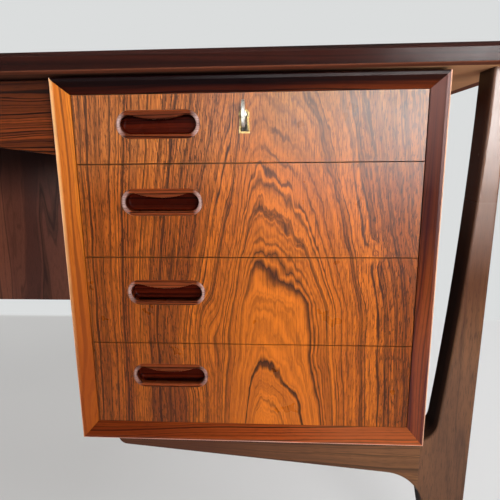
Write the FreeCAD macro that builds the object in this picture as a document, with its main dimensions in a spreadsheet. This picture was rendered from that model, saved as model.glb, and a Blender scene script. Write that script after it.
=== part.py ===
import FreeCAD, Part
import math
import os
import re
import Sketcher

# Twin-pedestal rosewood desk. +Z is up, the drawers face -Y, and the origin is on the floor
# under the middle of the top. Sizes are in millimetres.

# Driving dimensions
dimensions = {
    "desk_height": 725,
    "top_width": 1720,
    "top_depth": 708,
    "top_thickness": 19,
    "lipping_width": 22,
    "lip_height": 4.5,
    "undercut_depth": 5,
    "top_arris": 1.2,
    "underside_arris": 2,
    "end_overhang": 100,
    "front_overhang": 24,
    "shadow_gap": 3,
    "spacer_width": 30,
    "spacer_inset": 40,
    "pedestal_width": 450,
    "pedestal_height": 460,
    "board": 18,
    "back_board": 8,
    "frame_depth": 22,
    "frame_lip": 5,
    "frame_recess": 13,
    "frame_arris": 2,
    "top_drawer_pitch": 80,
    "front_thickness": 20,
    "front_gap": 1.2,
    "front_side_gap": 1.4,
    "box_clearance": 1.5,
    "box_board": 12,
    "box_room": 59,
    "box_edge_inset": 8,
    "box_bottom": 5,
    "runner_height": 10,
    "groove_depth": 6,
    "running_clearance": 0.5,
    "runner_end_gap": 4,
    "pull_length": 100,
    "pull_height": 33,
    "pull_skin": 3,
    "pull_proud": 0.8,
    "pull_shift": 104.5,
    "top_pull_drop": 34.5,
    "pull_drop": 46,
    "hollow_length": 91,
    "hollow_height": 22,
    "pull_floor": 3.8,
    "hollow_floor_round": 3,
    "grip_drop": 5.5,
    "grip_thickness": 5,
    "pull_rim_round": 1.6,
    "keyhole_shift": 2.5,
    "keyhole_drop": 25,
    "liner_radius": 6.5,
    "liner_waist": 10,
    "liner_foot": 13,
    "liner_drop": 21,
    "liner_wall": 2.2,
    "liner_proud": 0.6,
    "lock_width": 56,
    "lock_thickness": 12,
    "lock_drop": 20,
    "lock_wall": 1.5,
    "bolt_width": 22,
    "bolt_thickness": 3.5,
    "bolt_slack": 1.3,
    "lock_clearance": 0.5,
    "shank_radius": 2.3,
    "bit_reach": 9,
    "bit_thickness": 2.4,
    "bit_width": 3.5,
    "bow_height": 30,
    "bow_depth": 20,
    "bow_thickness": 3,
    "bow_rim": 4.5,
    "bow_standoff": 7,
    "collar_radius": 3.4,
    "collar_width": 2,
    "leg_setback": 10,
    "leg_depth": 40,
    "leg_outer_top": 68,
    "leg_outer_foot": 61,
    "leg_top_width": 20,
    "foot_width": 27,
    "knee_inset": 17,
    "leg_bow_radius": 5000,
    "knee_round": 28,
    "arm_length": 406,
    "arm_tip_height": 15,
    "arm_root_height": 52.5,
    "arm_tip_round": 13,
    "crook_round": 55,
    "leg_arris": 3,
    "glide_height": 4,
    "glide_radius": 10,
    "apron_setback": 20,
    "apron_thickness": 18,
    "apron_end_height": 88,
    "apron_slope_run": 140,
    "apron_slope_rise": 19.5,
    "apron_arris": 2,
    "panel_inset": 67,
    "panel_thickness": 16,
    "dowel_radius": 4,
    "dowel_spacing": 20,
    "leg_dowel_length": 40,
    "top_dowel_depth": 12,
    "arm_dowel_length": 50,
    "arm_dowel_drop": 17,
    "rail_dowel_length": 32,
    "rail_dowel_depth": 14,
    "screw_radius": 2.2,
    "screw_head_radius": 4.5,
    "screw_head_height": 3,
    "screw_bite": 12,
    "screw_cover": 10,
    "screw_sink": 5,
}

# Places worked out from the driving dimensions. "case" is the right-hand pedestal.
derived = {
    "underside": "desk_height - top_thickness",
    "undercut_height": "top_thickness - lip_height",
    "pedestal_depth": "top_depth - 2 * front_overhang",
    "case_top": "underside - shadow_gap",
    "case_bottom": "case_top - pedestal_height",
    "case_front": "-pedestal_depth / 2",
    "case_back": "pedestal_depth / 2",
    "case_outer": "top_width / 2 - end_overhang",
    "case_inner": "case_outer - pedestal_width",
    "case_middle": "case_outer - pedestal_width / 2",
    "board_front": "case_front + frame_depth",
    "board_depth": "pedestal_depth - frame_depth",
    "opening_width": "pedestal_width - 2 * board",
    "opening_top": "case_top - board",
    "drawer_pitch": "(pedestal_height - 2 * board - top_drawer_pitch) / 3",
    "face": "case_front + frame_recess",
    "face_back": "face + front_thickness",
    "box_width": "opening_width - 2 * box_clearance",
    "box_left": "case_inner + board + box_clearance",
    "box_back": "case_back - back_board - box_room",
    "box_length": "box_back - face_back",
    "groove_height": "runner_height + 2 * running_clearance",
    "runner_width": "box_clearance + groove_depth - running_clearance",
    "runner_front": "face_back + running_clearance",
    "runner_length": "case_back - back_board - runner_end_gap - runner_front",
    "pull_face": "face - pull_proud",
    "pull_seat": "front_thickness - pull_skin",
    "hollow_depth": "pull_seat + pull_proud - pull_floor",
    "pull_middle": "case_middle - pull_shift",
    "hollow_end": "hollow_height / 2",
    "hollow_half": "(hollow_length - hollow_height) / 2",
    "grip_radius": "(hollow_half * hollow_half + grip_drop * (grip_drop - hollow_height)) / (2 * grip_drop)",
    "grip_share": "hollow_end / (grip_radius + hollow_end)",
    "grip_half": "hollow_half * (1 - grip_share)",
    "grip_end": "(hollow_end - grip_drop + grip_radius) * grip_share",
    "key_x": "case_middle - keyhole_shift",
    "key_z": "opening_top - keyhole_drop",
    "lock_left": "key_x - lock_width / 2",
    "lock_top": "opening_top - front_gap",
    "lock_bottom": "key_z - lock_drop",
    "lock_inside": "lock_thickness - 2 * lock_wall",
    "bit_front": "face_back + lock_wall + lock_clearance",
    "bolt_front": "face_back + lock_thickness - lock_wall - lock_clearance - bolt_thickness",
    "bolt_foot": "key_z + shank_radius + lock_clearance",
    "bolt_throw": "bit_reach - shank_radius + bolt_slack",
    "bow_front": "face - bow_standoff - bow_depth",
    "leg_front": "case_front + leg_setback",
    "leg_middle": "leg_front + leg_depth / 2",
    "leg_top_x": "case_outer + leg_outer_top - leg_top_width / 2",
    "foot_x": "case_outer + leg_outer_foot - foot_width / 2",
    "kneehole": "2 * case_inner",
    "apron_front": "case_front + apron_setback",
    "apron_bow_half": "kneehole / 2 - apron_slope_run",
    "apron_tilt": "apron_slope_rise / apron_slope_run",
    "apron_bow_radius": "apron_bow_half * sqrt(1 + apron_tilt * apron_tilt) / apron_tilt",
    "panel_front": "case_back - panel_inset - panel_thickness",
    "core_width": "top_width - 2 * lipping_width",
    "core_depth": "top_depth - 2 * lipping_width",
    "spacer_length": "board_depth - 2 * spacer_inset",
}

doc = FreeCAD.newDocument("executive_desk")
sheet = doc.addObject("Spreadsheet::Sheet", "Dims")
for row, (word, measure) in enumerate(dimensions.items(), start=1):
    sheet.set(f"A{row}", word)
    sheet.set(f"B{row}", str(measure))
    sheet.setAlias(f"B{row}", word)
doc.recompute()

nodes = {}
along_x = FreeCAD.Rotation(FreeCAD.Vector(0, 1, 0), 90)
along_y = FreeCAD.Rotation(FreeCAD.Vector(1, 0, 0), -90)
along_z = FreeCAD.Rotation()
across = FreeCAD.Vector(1, 0, 0)
front_to_back = FreeCAD.Vector(0, 1, 0)


def formula(text):
    def in_full(match):
        word = match.group()
        if word in dimensions:
            return f"Dims.{word}"
        if word in derived:
            return f"({formula(derived[word])})"
        return word
    return re.sub(r"[a-z]\w*", in_full, text)


def size(text):
    return float(sheet.evalExpression(formula(text)))


def bind(item, formulas):
    for name, text in formulas.items():
        item.setExpression(name, formula(text))


def place(item, corner):
    bind(item, {f"Placement.Base.{axis}": text for axis, text in zip("xyz", corner)})


def node(label, item):
    item.Label = label
    nodes[label] = item
    return item


def box(name, corner, lengths):
    item = doc.addObject("Part::Box", name)
    bind(item, dict(zip(("Length", "Width", "Height"), lengths)))
    place(item, corner)
    return item


def cylinder(name, turn, start, radius, length):
    item = doc.addObject("Part::Cylinder", name)
    item.Placement = FreeCAD.Placement(FreeCAD.Vector(), turn)
    bind(item, {"Radius": radius, "Height": length})
    place(item, start)
    return item


def group(name, items):
    item = doc.addObject("Part::Compound", name)
    item.Links = items
    return item


def fuse(name, items):
    item = doc.addObject("Part::MultiFuse", name)
    item.Shapes = items
    item.Refine = True
    return item


def cut(name, base, tools):
    item = doc.addObject("Part::Cut", name)
    item.Base = base
    item.Tool = tools[0] if len(tools) == 1 else group(name + "_tools", tools)
    return item


def common(name, base, tool):
    item = doc.addObject("Part::Common", name)
    item.Base = base
    item.Tool = tool
    return item


def mirrored(name, source, normal):
    item = doc.addObject("Part::Mirroring", name)
    item.Source = source
    item.Normal = normal
    return item


def bulge_point(start, end, radius, side, over_half):
    # The middle of an arc that bulges to the left of its chord (side 1) or to the right (side -1)
    chord = end - start
    centre_distance = math.sqrt(radius * radius - chord.Length ** 2 / 4)
    sagitta = radius + centre_distance if over_half else radius - centre_distance
    leftward = FreeCAD.Vector(-chord.y, chord.x, 0).normalize()
    return (start + end) / 2 + leftward * sagitta * side


def outline_edge(sketch, start, end, bow):
    if bow is None:
        return sketch.addGeometry(Part.LineSegment(start, end)), 1, 2
    radius, side, over_half = bow
    arc = Part.Arc(start, bulge_point(start, end, size(radius), side, over_half), end)
    edge = sketch.addGeometry(arc)
    gaps = [sketch.getPoint(edge, end).distanceToPoint(start) for end in (1, 2)]
    ends = (1, 2) if gaps[0] < gaps[1] else (2, 1)
    name = f"bow{edge}"
    sketch.renameConstraint(sketch.addConstraint(Sketcher.Constraint("Radius", edge, size(radius))), name)
    bind(sketch, {f"Constraints.{name}": radius})
    return edge, *ends


def padded_outline(name, plane, corners, depth, start, bows=None):
    # A closed outline, each corner tied to the sheet, padded to a depth. bows gives, for each edge that
    # is an arc, its radius, the side it bulges to and whether it is over half a circle, by the number
    # of the corner that the edge starts from.
    body = doc.addObject("PartDesign::Body", name)
    sketch = body.newObject("Sketcher::SketchObject", name + "_outline")
    origin_plane = [item for item in body.Origin.OriginFeatures if item.Role == plane][0]
    sketch.AttachmentSupport = (origin_plane, [""])
    sketch.MapMode = "FlatFace"
    points = [FreeCAD.Vector(size(across_text), size(up_text), 0) for across_text, up_text in corners]
    edges = []
    for number, point in enumerate(points):
        following = points[(number + 1) % len(points)]
        edges.append(outline_edge(sketch, point, following, (bows or {}).get(number)))
    for number, (edge, first, last) in enumerate(edges):
        next_edge, next_first, _ = edges[(number + 1) % len(edges)]
        sketch.addConstraint(Sketcher.Constraint("Coincident", edge, last, next_edge, next_first))
        for kind, text, value in zip(("DistanceX", "DistanceY"), corners[number], points[number]):
            label = f"{kind}{number}"
            tie = sketch.addConstraint(Sketcher.Constraint(kind, -1, 1, edge, first, value))
            sketch.renameConstraint(tie, label)
            bind(sketch, {f"Constraints.{label}": text})
    pad = body.newObject("PartDesign::Pad", name + "_pad")
    pad.Profile = sketch
    pad.Reversed = plane == "XZ_Plane"
    bind(pad, {"Length": depth})
    place(body, start)
    doc.recompute()
    return body


def edges_where(shape, test):
    return [number for number, edge in enumerate(shape.Edges, start=1) if test(edge)]


def dress(body, kind, name, test, sizes):
    # Adds a fillet or chamfer to the edges of the body's last feature that pass the test.
    base = body.Tip
    feature = body.newObject(f"PartDesign::{kind}", name)
    feature.Base = (base, [f"Edge{number}" for number in edges_where(base.Shape, test)])
    if "Size2" in sizes:
        feature.ChamferType = "Two distances"
    bind(feature, sizes)
    doc.recompute()
    return feature


def lies_at(edge, axis, value):
    low = getattr(edge.BoundBox, axis + "Min")
    high = getattr(edge.BoundBox, axis + "Max")
    return abs(low - value) < 0.01 and abs(high - value) < 0.01


def stadium(name, turn, long_axis, centre, length, height, depth):
    # A slot-shaped prism that starts at its centre point and runs along +Y, or along +X when turned.
    half = f"({length} - {height}) / 2"
    x, y, z = centre
    if turn is along_y:
        block_corner = (f"{x} - {half}", y, f"{z} - {height} / 2")
        block_lengths = (f"2 * {half}", depth, height)
    else:
        block_corner = (x, f"{y} - {height} / 2", f"{z} - {half}")
        block_lengths = (depth, height, f"2 * {half}")
    pieces = [box(name + "_block", block_corner, block_lengths)]
    for end, sign in (("_low", "-"), ("_high", "+")):
        middle = list(centre)
        middle[long_axis] = f"{middle[long_axis]} {sign} {half}"
        pieces.append(cylinder(name + end, turn, middle, f"{height} / 2", depth))
    return fuse(name, pieces)


# Top: a veneered core inside mitred solid lippings with an undercut edge
def lipping(name, corners, outer_axis, outer_at):
    body = padded_outline(name, "XY_Plane", corners, "top_thickness", ("0", "0", "underside"))
    outer = size(outer_at)
    low = lambda edge: lies_at(edge, "Z", 0) and lies_at(edge, outer_axis, outer)
    dress(body, "Chamfer", name + "_undercut", low, {"Size": "undercut_height", "Size2": "undercut_depth"})
    inward = outer - math.copysign(size("undercut_depth"), outer)
    lower_arris = lambda edge: lies_at(edge, "Z", 0) and lies_at(edge, outer_axis, inward)
    dress(body, "Fillet", name + "_underside_arris", lower_arris, {"Radius": "underside_arris"})
    upper = lambda edge: lies_at(edge, "Z", size("top_thickness")) and lies_at(edge, outer_axis, outer)
    dress(body, "Fillet", name + "_top_arris", upper, {"Radius": "top_arris"})
    return body


half_width, half_depth = "top_width / 2", "top_depth / 2"
core_x, core_y = "core_width / 2", "core_depth / 2"
front_lipping = lipping(
    "front_lipping",
    [(f"-{half_width}", f"-{half_depth}"), (half_width, f"-{half_depth}"),
     (core_x, f"-{core_y}"), (f"-{core_x}", f"-{core_y}")],
    "Y", f"-{half_depth}")
right_lipping = lipping(
    "right_lipping",
    [(half_width, f"-{half_depth}"), (half_width, half_depth), (core_x, core_y), (core_x, f"-{core_y}")],
    "X", half_width)
node("top_lipping_long", group("long_lippings", [
    front_lipping, mirrored("back_lipping", front_lipping, front_to_back)]))
node("top_lipping_ends", group("end_lippings", [
    right_lipping, mirrored("left_lipping", right_lipping, across)]))


# Legs and arms: one crooked outline, parted where the arm is glued to the leg
leg_blank = padded_outline(
    "leg_blank", "XZ_Plane",
    [("case_outer + leg_outer_foot", "glide_height"),
     ("case_outer + leg_outer_top", "underside"),
     ("case_outer + leg_outer_top - leg_top_width", "underside"),
     ("case_outer + knee_inset", "case_bottom"),
     ("case_outer - arm_length", "case_bottom"),
     ("case_outer - arm_length", "case_bottom - arm_tip_height"),
     ("case_outer", "case_bottom - arm_root_height"),
     ("case_outer + leg_outer_foot - foot_width", "glide_height")],
    "leg_depth", ("0", "leg_front", "0"), {2: ("leg_bow_radius", 1, False)})


def is_corner(across_text, up_text):
    x, z = size(across_text), size(up_text)
    return lambda edge: lies_at(edge, "X", x) and lies_at(edge, "Z", z)


dress(leg_blank, "Fillet", "knee", is_corner("case_outer + knee_inset", "case_bottom"),
      {"Radius": "knee_round"})
dress(leg_blank, "Fillet", "crook", is_corner("case_outer", "case_bottom - arm_root_height"),
      {"Radius": "crook_round"})
dress(leg_blank, "Fillet", "arm_tip", is_corner("case_outer - arm_length", "case_bottom - arm_tip_height"),
      {"Radius": "arm_tip_round"})


def on_leg_face(edge):
    seated = lies_at(edge, "Z", size("case_bottom")) or lies_at(edge, "Z", size("underside"))
    on_face = lies_at(edge, "Y", 0) or lies_at(edge, "Y", size("leg_depth"))
    return on_face and not seated and not lies_at(edge, "Z", size("glide_height"))


dress(leg_blank, "Fillet", "leg_arrises", on_leg_face, {"Radius": "leg_arris"})

leg_space = box("leg_space", ("case_outer", "case_front", "0"),
                ("end_overhang", "pedestal_depth", "desk_height"))
arm_space = box("arm_space", ("case_inner", "case_front", "0"),
                ("pedestal_width", "pedestal_depth", "case_bottom"))

leg_dowels = []
arm_dowels = []
for number, sign in enumerate("-+"):
    leg_dowel_foot = ("leg_top_x", f"leg_middle {sign} dowel_spacing / 2",
                      "underside + top_dowel_depth - leg_dowel_length")
    leg_dowels.append(cylinder(f"leg_dowel_{number}", along_z, leg_dowel_foot,
                               "dowel_radius", "leg_dowel_length"))
    arm_dowel_end = ("case_outer - arm_dowel_length / 2", "leg_middle",
                     f"case_bottom - arm_dowel_drop - {number} * dowel_spacing")
    arm_dowels.append(cylinder(f"arm_dowel_{number}", along_x, arm_dowel_end,
                               "dowel_radius", "arm_dowel_length"))
corner_dowels = group("corner_dowels", leg_dowels + arm_dowels)


# A screw that points up: its head's lower face is at the start point
def screw(name, start, length):
    x, y, z = start
    head = cylinder(name + "_head", along_z, start, "screw_head_radius", "screw_head_height")
    shank = cylinder(name + "_shank", along_z, (x, y, f"{z} + screw_head_height"), "screw_radius",
                     f"{length} - screw_head_height")
    return fuse(name, [head, shank])


arm_screws = []
arm_screw_bores = []
for number, reach in enumerate(("arm_length / 5", "4 * arm_length / 5")):
    foot = (f"case_outer - {reach}", "leg_middle", "case_bottom - screw_cover - screw_head_height")
    arm_screws.append(screw(f"arm_screw_{number}", foot, "screw_head_height + screw_cover + screw_bite"))
    bore = (foot[0], foot[1], "case_bottom - screw_cover - arm_root_height")
    arm_screw_bores.append(cylinder(f"arm_screw_bore_{number}", along_z, bore,
                                    "screw_head_radius + running_clearance", "arm_root_height"))
corner_screws = group("corner_screws", arm_screws)

leg = cut("leg_bored", common("leg_side", leg_blank, leg_space), [corner_dowels])
arm = cut("arm_bored", common("arm_side", leg_blank, arm_space),
          [corner_dowels, corner_screws] + arm_screw_bores)
glide = cylinder("glide", along_z, ("foot_x", "leg_middle", "0"), "glide_radius", "glide_height")

corners = {"front_right": [], "front_left": [across], "rear_right": [front_to_back],
           "rear_left": [front_to_back, across]}


def at_corner(name, item, corner):
    for step, normal in enumerate(corners[corner]):
        item = mirrored(f"{name}_{corner}_{step}", item, normal)
    return item


glides = []
dowels = []
screws = []
for corner in corners:
    node(f"leg_{corner}", at_corner("leg", leg, corner))
    node(f"arm_{corner}", at_corner("arm", arm, corner))
    glides.append(at_corner("glide", glide, corner))
    dowels.append(at_corner("dowels", corner_dowels, corner))
    screws.append(at_corner("screws", corner_screws, corner))
node("foot_glides", group("all_glides", glides))


# Dowels that join the apron and the kneehole panel to the pedestals' inner sides
def rail_dowel(name, middle, height):
    return cylinder(name, along_x, ("case_inner + rail_dowel_depth - rail_dowel_length", middle, height),
                    "dowel_radius", "rail_dowel_length")


apron_middle = "apron_front + apron_thickness / 2"
panel_middle = "panel_front + panel_thickness / 2"
rail_dowels = [
    rail_dowel("apron_dowel_high", apron_middle, "case_top - apron_end_height / 4"),
    rail_dowel("apron_dowel_low", apron_middle, "case_top - 3 * apron_end_height / 4"),
    rail_dowel("panel_dowel_high", panel_middle, "case_top - pedestal_height / 8"),
    rail_dowel("panel_dowel_mid", panel_middle, "case_top - pedestal_height / 2"),
    rail_dowel("panel_dowel_low", panel_middle, "case_bottom + pedestal_height / 8")]
right_rail_dowels = group("right_rail_dowels", rail_dowels)
left_rail_dowels = mirrored("left_rail_dowels", right_rail_dowels, across)
node("joint_dowels", group("all_dowels", dowels + [right_rail_dowels, left_rail_dowels]))

# Apron: sloping ends that run into a shallow arch
apron = padded_outline(
    "apron_board", "XZ_Plane",
    [("-case_inner", "case_top"), ("-case_inner", "case_top - apron_end_height"),
     ("-apron_bow_half", "case_top - apron_end_height + apron_slope_rise"),
     ("apron_bow_half", "case_top - apron_end_height + apron_slope_rise"),
     ("case_inner", "case_top - apron_end_height"), ("case_inner", "case_top")],
    "apron_thickness", ("0", "apron_front", "0"), {2: ("apron_bow_radius", 1, False)})


def under_apron(edge):
    on_face = lies_at(edge, "Y", 0) or lies_at(edge, "Y", size("apron_thickness"))
    return on_face and edge.BoundBox.ZMax < size("case_top") - 1 and edge.BoundBox.XLength > 1


dress(apron, "Fillet", "apron_arrises", under_apron, {"Radius": "apron_arris"})
node("apron", cut("apron_bored", apron, [right_rail_dowels, left_rail_dowels]))
node("modesty_panel", cut("panel_bored", box(
    "panel_board", ("-case_inner", "panel_front", "case_bottom"),
    ("kneehole", "panel_thickness", "pedestal_height")), [right_rail_dowels, left_rail_dowels]))


# Spacers and the screws that hold each pedestal to the top
spacer_y = "board_front + spacer_inset"
spacer_edges = {"inner": "case_inner + spacer_inset", "outer": "case_outer - spacer_inset - spacer_width"}
case_spacers = []
case_screws = []
case_screw_bores = []
for edge_name, left in spacer_edges.items():
    case_spacers.append(box(f"spacer_blank_{edge_name}", (left, spacer_y, "case_top"),
                            ("spacer_width", "spacer_length", "shadow_gap")))
    for end in (1, 3):
        name = f"top_screw_{edge_name}_{end}"
        head = (f"{left} + spacer_width / 2", f"{spacer_y} + {end} * spacer_length / 4",
                "opening_top + screw_sink - screw_head_height")
        case_screws.append(screw(
            name, head, "screw_head_height + board - screw_sink + shadow_gap + screw_bite"))
        mouth = (head[0], head[1], "opening_top - screw_sink")
        case_screw_bores.append(cylinder(name + "_bore", along_z, mouth,
                                         "screw_head_radius + running_clearance", "2 * screw_sink"))
case_screw_set = group("case_screw_set", case_screws)
spacers = cut("spacers_bored", group("spacer_blanks", case_spacers), [case_screw_set])
node("top_spacers", group("all_spacers", [spacers, mirrored("left_spacers", spacers, across)]))
left_screw_set = mirrored("left_screw_set", case_screw_set, across)
node("wood_screws", group("all_screws", screws + [case_screw_set, left_screw_set]))
node("top_core", cut("core_bored", box(
    "core_board", (f"-{core_x}", f"-{core_y}", "underside"), ("core_width", "core_depth", "top_thickness")),
    dowels + [case_screw_set, left_screw_set]))


def both_sides(name, item):
    node(f"right_{name}", item)
    node(f"left_{name}", mirrored(f"left_{name}_mirror", item, across))


# Pedestal boards
lock_mortise = box("lock_mortise", (
    "key_x - bolt_width / 2 - lock_clearance", "bolt_front - lock_clearance", "opening_top"),
    ("bolt_width + 2 * lock_clearance", "bolt_thickness + 2 * lock_clearance", "bolt_throw"))
side_lengths = ("board", "board_depth", "pedestal_height")
outer_side = box("outer_side_board", ("case_outer - board", "board_front", "case_bottom"), side_lengths)
inner_side = box("inner_side_board", ("case_inner", "board_front", "case_bottom"), side_lengths)
flat_lengths = ("opening_width", "board_depth", "board")
top_board = box("top_board_blank", ("case_inner + board", "board_front", "opening_top"), flat_lengths)
bottom_board = box("bottom_board_blank", ("case_inner + board", "board_front", "case_bottom"), flat_lengths)
back_panel = box("back_panel_board", ("case_inner + board", "case_back - back_board", "case_bottom + board"),
                 ("opening_width", "back_board", "pedestal_height - 2 * board"))
screwed_top = cut("top_board_bored", top_board, [case_screw_set] + case_screw_bores)
corner_screws_behind = at_corner("screws_behind", corner_screws, "rear_right")
both_sides("outer_side", outer_side)
both_sides("inner_side", cut("inner_side_bored", inner_side, [right_rail_dowels]))
both_sides("bottom_board", cut("bottom_board_bored", bottom_board, [corner_screws, corner_screws_behind]))
both_sides("back_panel", back_panel)
node("right_top_board", cut("top_board_mortised", screwed_top, [lock_mortise]))
node("left_top_board", mirrored("left_top_board_mirror", screwed_top, across))

# Front frame: mitred members, splayed from a narrow lip back to the drawer fronts
splay = doc.addObject("Part::Wedge", "splay")
bind(splay, {
    "Xmin": "frame_lip", "Xmax": "pedestal_width - frame_lip",
    "Zmin": "frame_lip", "Zmax": "pedestal_height - frame_lip",
    "X2min": "board", "X2max": "pedestal_width - board",
    "Z2min": "board", "Z2max": "pedestal_height - board",
    "Ymin": "0 * frame_recess", "Ymax": "frame_recess"})
place(splay, ("case_inner", "case_front", "case_bottom"))
case_outline = [("case_inner", "case_bottom"), ("case_outer", "case_bottom"),
                ("case_outer", "case_top"), ("case_inner", "case_top")]
opening_outline = [("case_inner + board", "case_bottom + board"),
                   ("case_outer - board", "case_bottom + board"),
                   ("case_outer - board", "opening_top"), ("case_inner + board", "opening_top")]


def frame_member(name, first):
    second = (first + 1) % 4
    body = padded_outline(
        name, "XZ_Plane",
        [case_outline[first], case_outline[second], opening_outline[second], opening_outline[first]],
        "frame_depth", ("0", "case_front", "0"))
    ends = [FreeCAD.Vector(size(x), 0, size(z)) for x, z in (case_outline[first], case_outline[second])]
    middle = (ends[0] + ends[1]) / 2
    outer_front = lambda edge: edge.CenterOfMass.distanceToPoint(middle) < 0.01
    dress(body, "Fillet", name + "_arris", outer_front, {"Radius": "frame_arris"})
    return cut(name + "_splayed", body, [splay])


both_sides("frame_rails", group("rails", [frame_member("bottom_rail", 0), frame_member("top_rail", 2)]))
both_sides("frame_stiles", group("stiles", [frame_member("outer_stile", 1), frame_member("inner_stile", 3)]))

# Lock on the right-hand top drawer


def keyhole(name, front, depth, inset):
    # A round head over a flared skirt, smaller all round by the inset
    head = cylinder(name + "_head", along_y, ("key_x", front, "key_z"), f"liner_radius - {inset}", depth)
    waist = f"(liner_waist / 2 - {inset})"
    foot = f"(liner_foot / 2 - {inset})"
    floor = f"key_z - liner_drop + {inset}"
    skirt = padded_outline(
        name + "_skirt", "XZ_Plane",
        [(f"key_x - {foot}", floor), (f"key_x + {foot}", floor), (f"key_x + {waist}", "key_z"),
         (f"key_x - {waist}", "key_z")],
        depth, ("0", front, "0"))
    return fuse(name, [head, skirt])


liner_depth = "front_thickness + liner_proud"
liner_outside = keyhole("liner_outside", "face - liner_proud", liner_depth, "0")
liner_inside = keyhole("liner_inside", "face - liner_proud", f"{liner_depth} + lock_wall", "liner_wall")
node("escutcheon", cut("liner", liner_outside, [liner_inside]))

case_block = box("lock_block", ("lock_left", "face_back", "lock_bottom"),
                 ("lock_width", "lock_thickness", "lock_top - lock_bottom"))
case_hollow = box("lock_hollow", (
    "lock_left + lock_wall", "face_back + lock_wall", "lock_bottom + lock_wall"),
    ("lock_width - 2 * lock_wall", "lock_inside", "lock_top - lock_bottom - 2 * lock_wall"))
bolt_slot = box("bolt_slot", (
    "key_x - bolt_width / 2 - lock_clearance", "bolt_front - lock_clearance", "lock_top - 2 * lock_wall"),
    ("bolt_width + 2 * lock_clearance", "bolt_thickness + 2 * lock_clearance", "3 * lock_wall"))
node("lock_case", cut("lock_shell", case_block, [case_hollow, bolt_slot, liner_inside]))
node("lock_bolt", box("bolt_plate", ("key_x - bolt_width / 2", "bolt_front", "bolt_foot"),
                      ("bolt_width", "bolt_thickness", "lock_top - bolt_foot")))

bow_centre = ("key_x - bow_thickness / 2", "bow_front + bow_depth / 2", "key_z")
bow = stadium("bow_plate", along_x, 2, bow_centre, "bow_height", "bow_depth", "bow_thickness")
bow_eye = stadium("bow_eye", along_x, 2, bow_centre, "(bow_height - 2 * bow_rim)",
                  "(bow_depth - 2 * bow_rim)", "bow_thickness")
shank = cylinder("shank", along_y, ("key_x", "bow_front + bow_depth - bow_rim / 2", "key_z"), "shank_radius",
                 "bit_front + bit_width - bow_front - bow_depth + bow_rim / 2")
collar = cylinder("collar", along_y, ("key_x", "bow_front + bow_depth", "key_z"), "collar_radius",
                  "collar_width")
bit = box("bit", ("key_x - bit_thickness / 2", "bit_front", "key_z - bit_reach"),
          ("bit_thickness", "bit_width", "bit_reach"))
node("lock_key", fuse("key", [cut("bow_ring", bow, [bow_eye]), shank, collar, bit]))

# Drawers, numbered from the top, with their pulls and runners
case_runners = []


def pull(name, height):
    # A cup whose mouth has a finger grip: an arc that hangs from the upper rim and runs tangent into
    # the round ends. Behind the grip the hollow is full height.
    centre = ("pull_middle", "pull_face", height)
    blank = stadium(name + "_blank", along_y, 0, centre, "pull_length", "pull_height",
                    "pull_seat + pull_proud")
    mouth = padded_outline(
        name + "_mouth", "XZ_Plane",
        [("pull_middle - hollow_half", f"{height} - hollow_end"),
         ("pull_middle + hollow_half", f"{height} - hollow_end"),
         ("pull_middle + grip_half", f"{height} + grip_end"),
         ("pull_middle - grip_half", f"{height} + grip_end")],
        "grip_thickness", ("0", "pull_face", "0"),
        {1: ("hollow_end", -1, True), 2: ("grip_radius", 1, False), 3: ("hollow_end", -1, True)})
    hollow = stadium(name + "_hollow", along_y, 0, ("pull_middle", "pull_face + grip_thickness", height),
                     "hollow_length", "hollow_height", "hollow_depth - grip_thickness")
    cup = cut(name + "_cup", blank, [mouth, hollow])
    rounded = rounded_at(name + "_rim", cup, "pull_face", "pull_rim_round")
    return blank, rounded_at(name + "_floor", rounded, "pull_face + hollow_depth", "hollow_floor_round")


def rounded_at(name, base, depth, radius):
    # Rounds every edge that lies flat at one depth
    doc.recompute()
    flat = edges_where(base.Shape, lambda edge: lies_at(edge, "Y", size(depth)))
    item = doc.addObject("Part::Fillet", name)
    item.Base = base
    item.Edges = [(number, size(radius), size(radius)) for number in flat]
    return item


def drawer_box(name, low, high):
    middle = f"({low} + {high}) / 2"
    bottom_z = f"({low} + box_edge_inset)"
    side_lengths = ("box_board", "box_length", f"{high} - {low}")
    pieces = []
    for side, x, groove_x, runner_x in (
            ("left", "box_left", "box_left", "case_inner + board"),
            ("right", "box_left + box_width - box_board", "box_left + box_width - groove_depth",
             "case_outer - board - runner_width")):
        blank = box(f"{name}_{side}_blank", (x, "face_back", low), side_lengths)
        groove = box(f"{name}_{side}_groove", (groove_x, "face_back", f"{middle} - groove_height / 2"),
                     ("groove_depth", "box_length", "groove_height"))
        pieces.append(cut(f"{name}_{side}", blank, [groove]))
        case_runners.append(box(f"{name}_{side}_runner", (
            runner_x, "runner_front", f"{middle} - runner_height / 2"),
            ("runner_width", "runner_length", "runner_height")))
    inside = ("box_left + box_board", "box_width - 2 * box_board")
    pieces.append(box(name + "_bottom", (inside[0], "face_back", bottom_z),
                      (inside[1], "box_length", "box_bottom")))
    pieces.append(box(name + "_back", (inside[0], "box_back - box_board", f"{bottom_z} + box_bottom"),
                      (inside[1], "box_board", f"{high} - {bottom_z} - box_bottom")))
    return group(name, pieces)


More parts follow.
